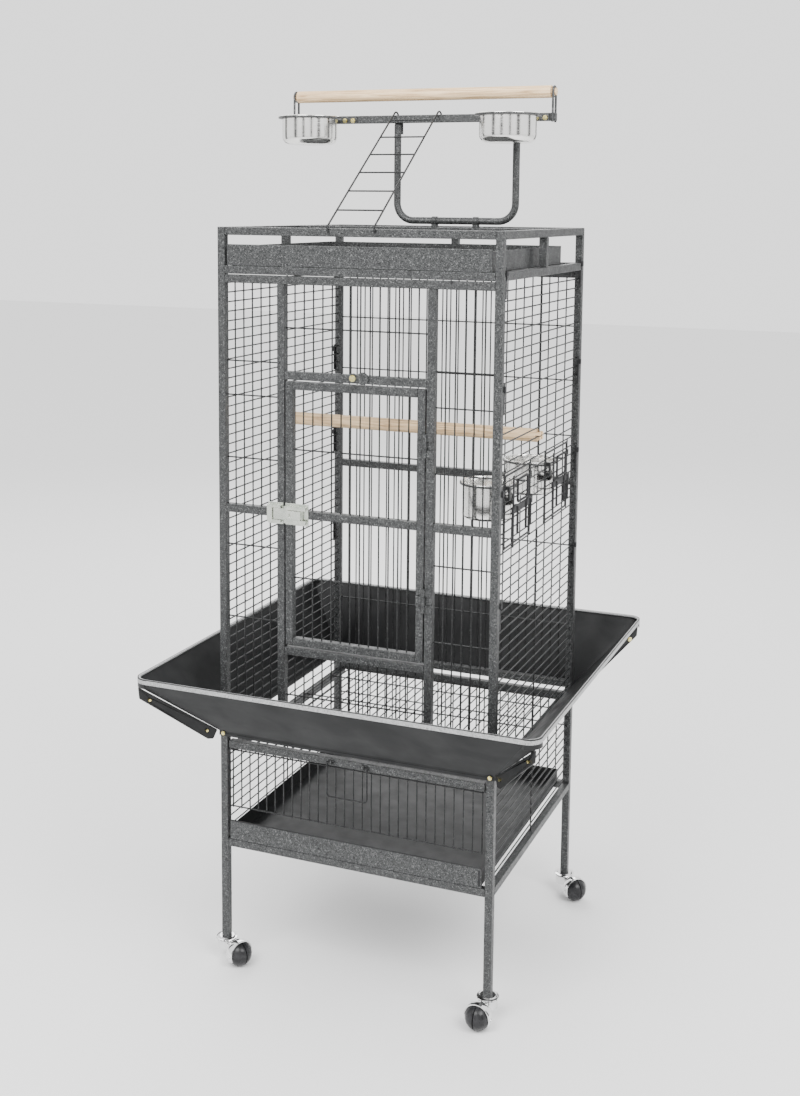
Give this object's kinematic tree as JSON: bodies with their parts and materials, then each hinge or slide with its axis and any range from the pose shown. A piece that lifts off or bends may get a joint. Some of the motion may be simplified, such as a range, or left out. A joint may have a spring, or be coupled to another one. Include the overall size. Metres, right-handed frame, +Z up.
{
  "type": "bird cage on stand",
  "caption": "Play-top wire bird cage on castered legs with a seed skirt, pull-out trays, swing-out feeders, perches and a ladder.",
  "frame": {"origin": "on the floor below the middle of the cage body", "axes": "+X right along the door side, -Y out through the door, +Z up"},
  "size_m": [0.738, 0.734, 1.592],
  "materials": {
    "hammertone_frame": "hammertone powder coat",
    "hammertone_sheet": "hammertone powder coat on sheet",
    "charcoal_sheet": "smooth satin powder coat",
    "stainless": "polished spun steel",
    "nickel_latch": "zinc plated",
    "yellow_zinc": "yellow passivated",
    "perch_wood": "bare sanded",
    "caster_chrome": "bright chrome",
    "ball_black": "moulded",
    "black_plastic": "moulded"
  },
  "bodies": {
    "frame": {"corner_posts": "hammertone_frame", "leg_plugs": "black_plastic", "front_rails": "hammertone_frame", "back_rails": "hammertone_frame", "side_rails": "hammertone_frame", "door_jambs": "hammertone_frame", "front_cross_rails": "hammertone_frame", "grille_front": "hammertone_frame", "grille_back": "hammertone_frame", "grille_left": "hammertone_frame", "grille_right": "hammertone_frame", "feeder_jambs": "hammertone_frame", "roof_grille": "hammertone_frame", "grate_runners": "hammertone_frame", "skirt_front": "charcoal_sheet", "skirt_back": "charcoal_sheet", "skirt_right": "charcoal_sheet", "skirt_left": "charcoal_sheet", "corner_flanges": "charcoal_sheet", "bolts": "yellow_zinc", "roof_supports": "hammertone_frame", "loop_stand": "hammertone_frame", "crossbar": "hammertone_frame", "perch_holders": "hammertone_frame", "top_perch": "perch_wood", "bowl_rings": "hammertone_frame", "inner_perch": "perch_wood", "hinge_pins": "hammertone_frame", "latch_keeper": "nickel_latch"},
    "door": {"door_stiles": "hammertone_frame", "door_rails": "hammertone_frame", "door_bars": "hammertone_frame", "door_hinge_leaves": "hammertone_frame", "latch_plate": "nickel_latch"},
    "latch": {"latch_bolt": "nickel_latch"},
    "catch": {"catch_disc": "hammertone_frame"},
    "roof_tray": {"top_tray": "hammertone_sheet"},
    "floor_tray": {"bottom_tray": "charcoal_sheet"},
    "grate": {"grate_rail": "hammertone_frame", "grate_floor": "hammertone_frame", "grate_apron": "hammertone_frame"},
    "grate_handle": {"pull_bail": "hammertone_frame"},
    "feeder_front": {"feeder_door_front": "hammertone_frame", "feeder_ring_front": "hammertone_frame"},
    "feeder_rear": {"feeder_door_rear": "hammertone_frame", "feeder_ring_rear": "hammertone_frame"},
    "cup_a": {"cup_front": "stainless"},
    "cup_b": {"cup_rear": "stainless"},
    "bowl_a": {"bowl_left": "stainless"},
    "bowl_b": {"bowl_right": "stainless"},
    "climb_ladder": {"ladder_rails": "hammertone_frame", "ladder_rungs": "hammertone_frame"},
    "swivel_fl": {"caster_fl": "caster_chrome"},
    "swivel_fr": {"caster_fr": "caster_chrome"},
    "swivel_bl": {"caster_bl": "caster_chrome"},
    "swivel_br": {"caster_br": "caster_chrome"},
    "roller_fl": {"wheel_fl": "ball_black"},
    "roller_fr": {"wheel_fr": "ball_black"},
    "roller_bl": {"wheel_bl": "ball_black"},
    "roller_br": {"wheel_br": "ball_black"}
  },
  "joints": [
    {"name": "door_swing", "type": "hinge", "parent": "frame", "child": "door", "pos_m": [0.13, -0.254, 0.845], "axis": [0, 0, 1], "range_deg": [0, 110]},
    {"name": "latch_slide", "type": "slide", "parent": "door", "child": "latch", "axis": [1, 0, 0], "range_m": [-0.008, 0.03]},
    {"name": "catch_turn", "type": "hinge", "parent": "frame", "child": "catch", "pos_m": [0, -0.2525, 1.09055], "axis": [0, 1, 0], "range_deg": [0, 90]},
    {"name": "roof_tray_slide", "type": "slide", "parent": "frame", "child": "roof_tray", "axis": [0, -1, 0], "range_m": [0, 0.35]},
    {"name": "floor_tray_slide", "type": "slide", "parent": "frame", "child": "floor_tray", "axis": [0, -1, 0], "range_m": [0, 0.42]},
    {"name": "grate_slide", "type": "slide", "parent": "frame", "child": "grate", "axis": [0, -1, 0], "range_m": [0, 0.42]},
    {"name": "handle_swing", "type": "hinge", "parent": "grate", "child": "grate_handle", "pos_m": [-0.008, -0.254, 0.412], "axis": [-1, 0, 0], "range_deg": [0, 100]},
    {"name": "feeder_front_swing", "type": "hinge", "parent": "frame", "child": "feeder_front", "pos_m": [0.253, -0.05504, 0.87], "axis": [0, 0, 1], "range_deg": [0, 100]},
    {"name": "feeder_rear_swing", "type": "hinge", "parent": "frame", "child": "feeder_rear", "pos_m": [0.253, 0.18492, 0.87], "axis": [0, 0, 1], "range_deg": [0, 100]},
    {"name": "cup_front_lift", "type": "slide", "parent": "feeder_front", "child": "cup_a", "axis": [0, 0, 1], "range_m": [0, 0.08]},
    {"name": "cup_rear_lift", "type": "slide", "parent": "feeder_rear", "child": "cup_b", "axis": [0, 0, 1], "range_m": [0, 0.08]},
    {"name": "bowl_left_lift", "type": "slide", "parent": "frame", "child": "bowl_a", "axis": [0, 0, 1], "range_m": [0, 0.1]},
    {"name": "bowl_right_lift", "type": "slide", "parent": "frame", "child": "bowl_b", "axis": [0, 0, 1], "range_m": [0, 0.1]},
    {"name": "ladder_lift", "type": "hinge", "parent": "frame", "child": "climb_ladder", "pos_m": [-0.006, 0.045, 1.537], "axis": [-1, 0, 0], "range_deg": [0, 40]},
    {"name": "swivel_turn_fl", "type": "hinge", "parent": "frame", "child": "swivel_fl", "pos_m": [-0.253, -0.243, 0.039], "axis": [0, 0, 1], "continuous": true},
    {"name": "wheel_roll_fl", "type": "hinge", "parent": "swivel_fl", "child": "roller_fl", "pos_m": [-0.21829, -0.25846, 0.022], "axis": [0.4067, 0.9135, 0], "continuous": true},
    {"name": "swivel_turn_fr", "type": "hinge", "parent": "frame", "child": "swivel_fr", "pos_m": [0.253, -0.243, 0.039], "axis": [0, 0, 1], "continuous": true},
    {"name": "wheel_roll_fr", "type": "hinge", "parent": "swivel_fr", "child": "roller_fr", "pos_m": [0.24837, -0.28072, 0.022], "axis": [0.9925, -0.1219, 0], "continuous": true},
    {"name": "swivel_turn_bl", "type": "hinge", "parent": "frame", "child": "swivel_bl", "pos_m": [-0.253, 0.243, 0.039], "axis": [0, 0, 1], "continuous": true},
    {"name": "wheel_roll_bl", "type": "hinge", "parent": "swivel_bl", "child": "roller_bl", "pos_m": [-0.28871, 0.256, 0.022], "axis": [-0.342, -0.9397, 0], "continuous": true},
    {"name": "swivel_turn_br", "type": "hinge", "parent": "frame", "child": "swivel_br", "pos_m": [0.253, 0.243, 0.039], "axis": [0, 0, 1], "continuous": true},
    {"name": "wheel_roll_br", "type": "hinge", "parent": "swivel_br", "child": "roller_br", "pos_m": [0.28211, 0.21857, 0.022], "axis": [0.6428, 0.766, 0], "continuous": true}
  ]
}
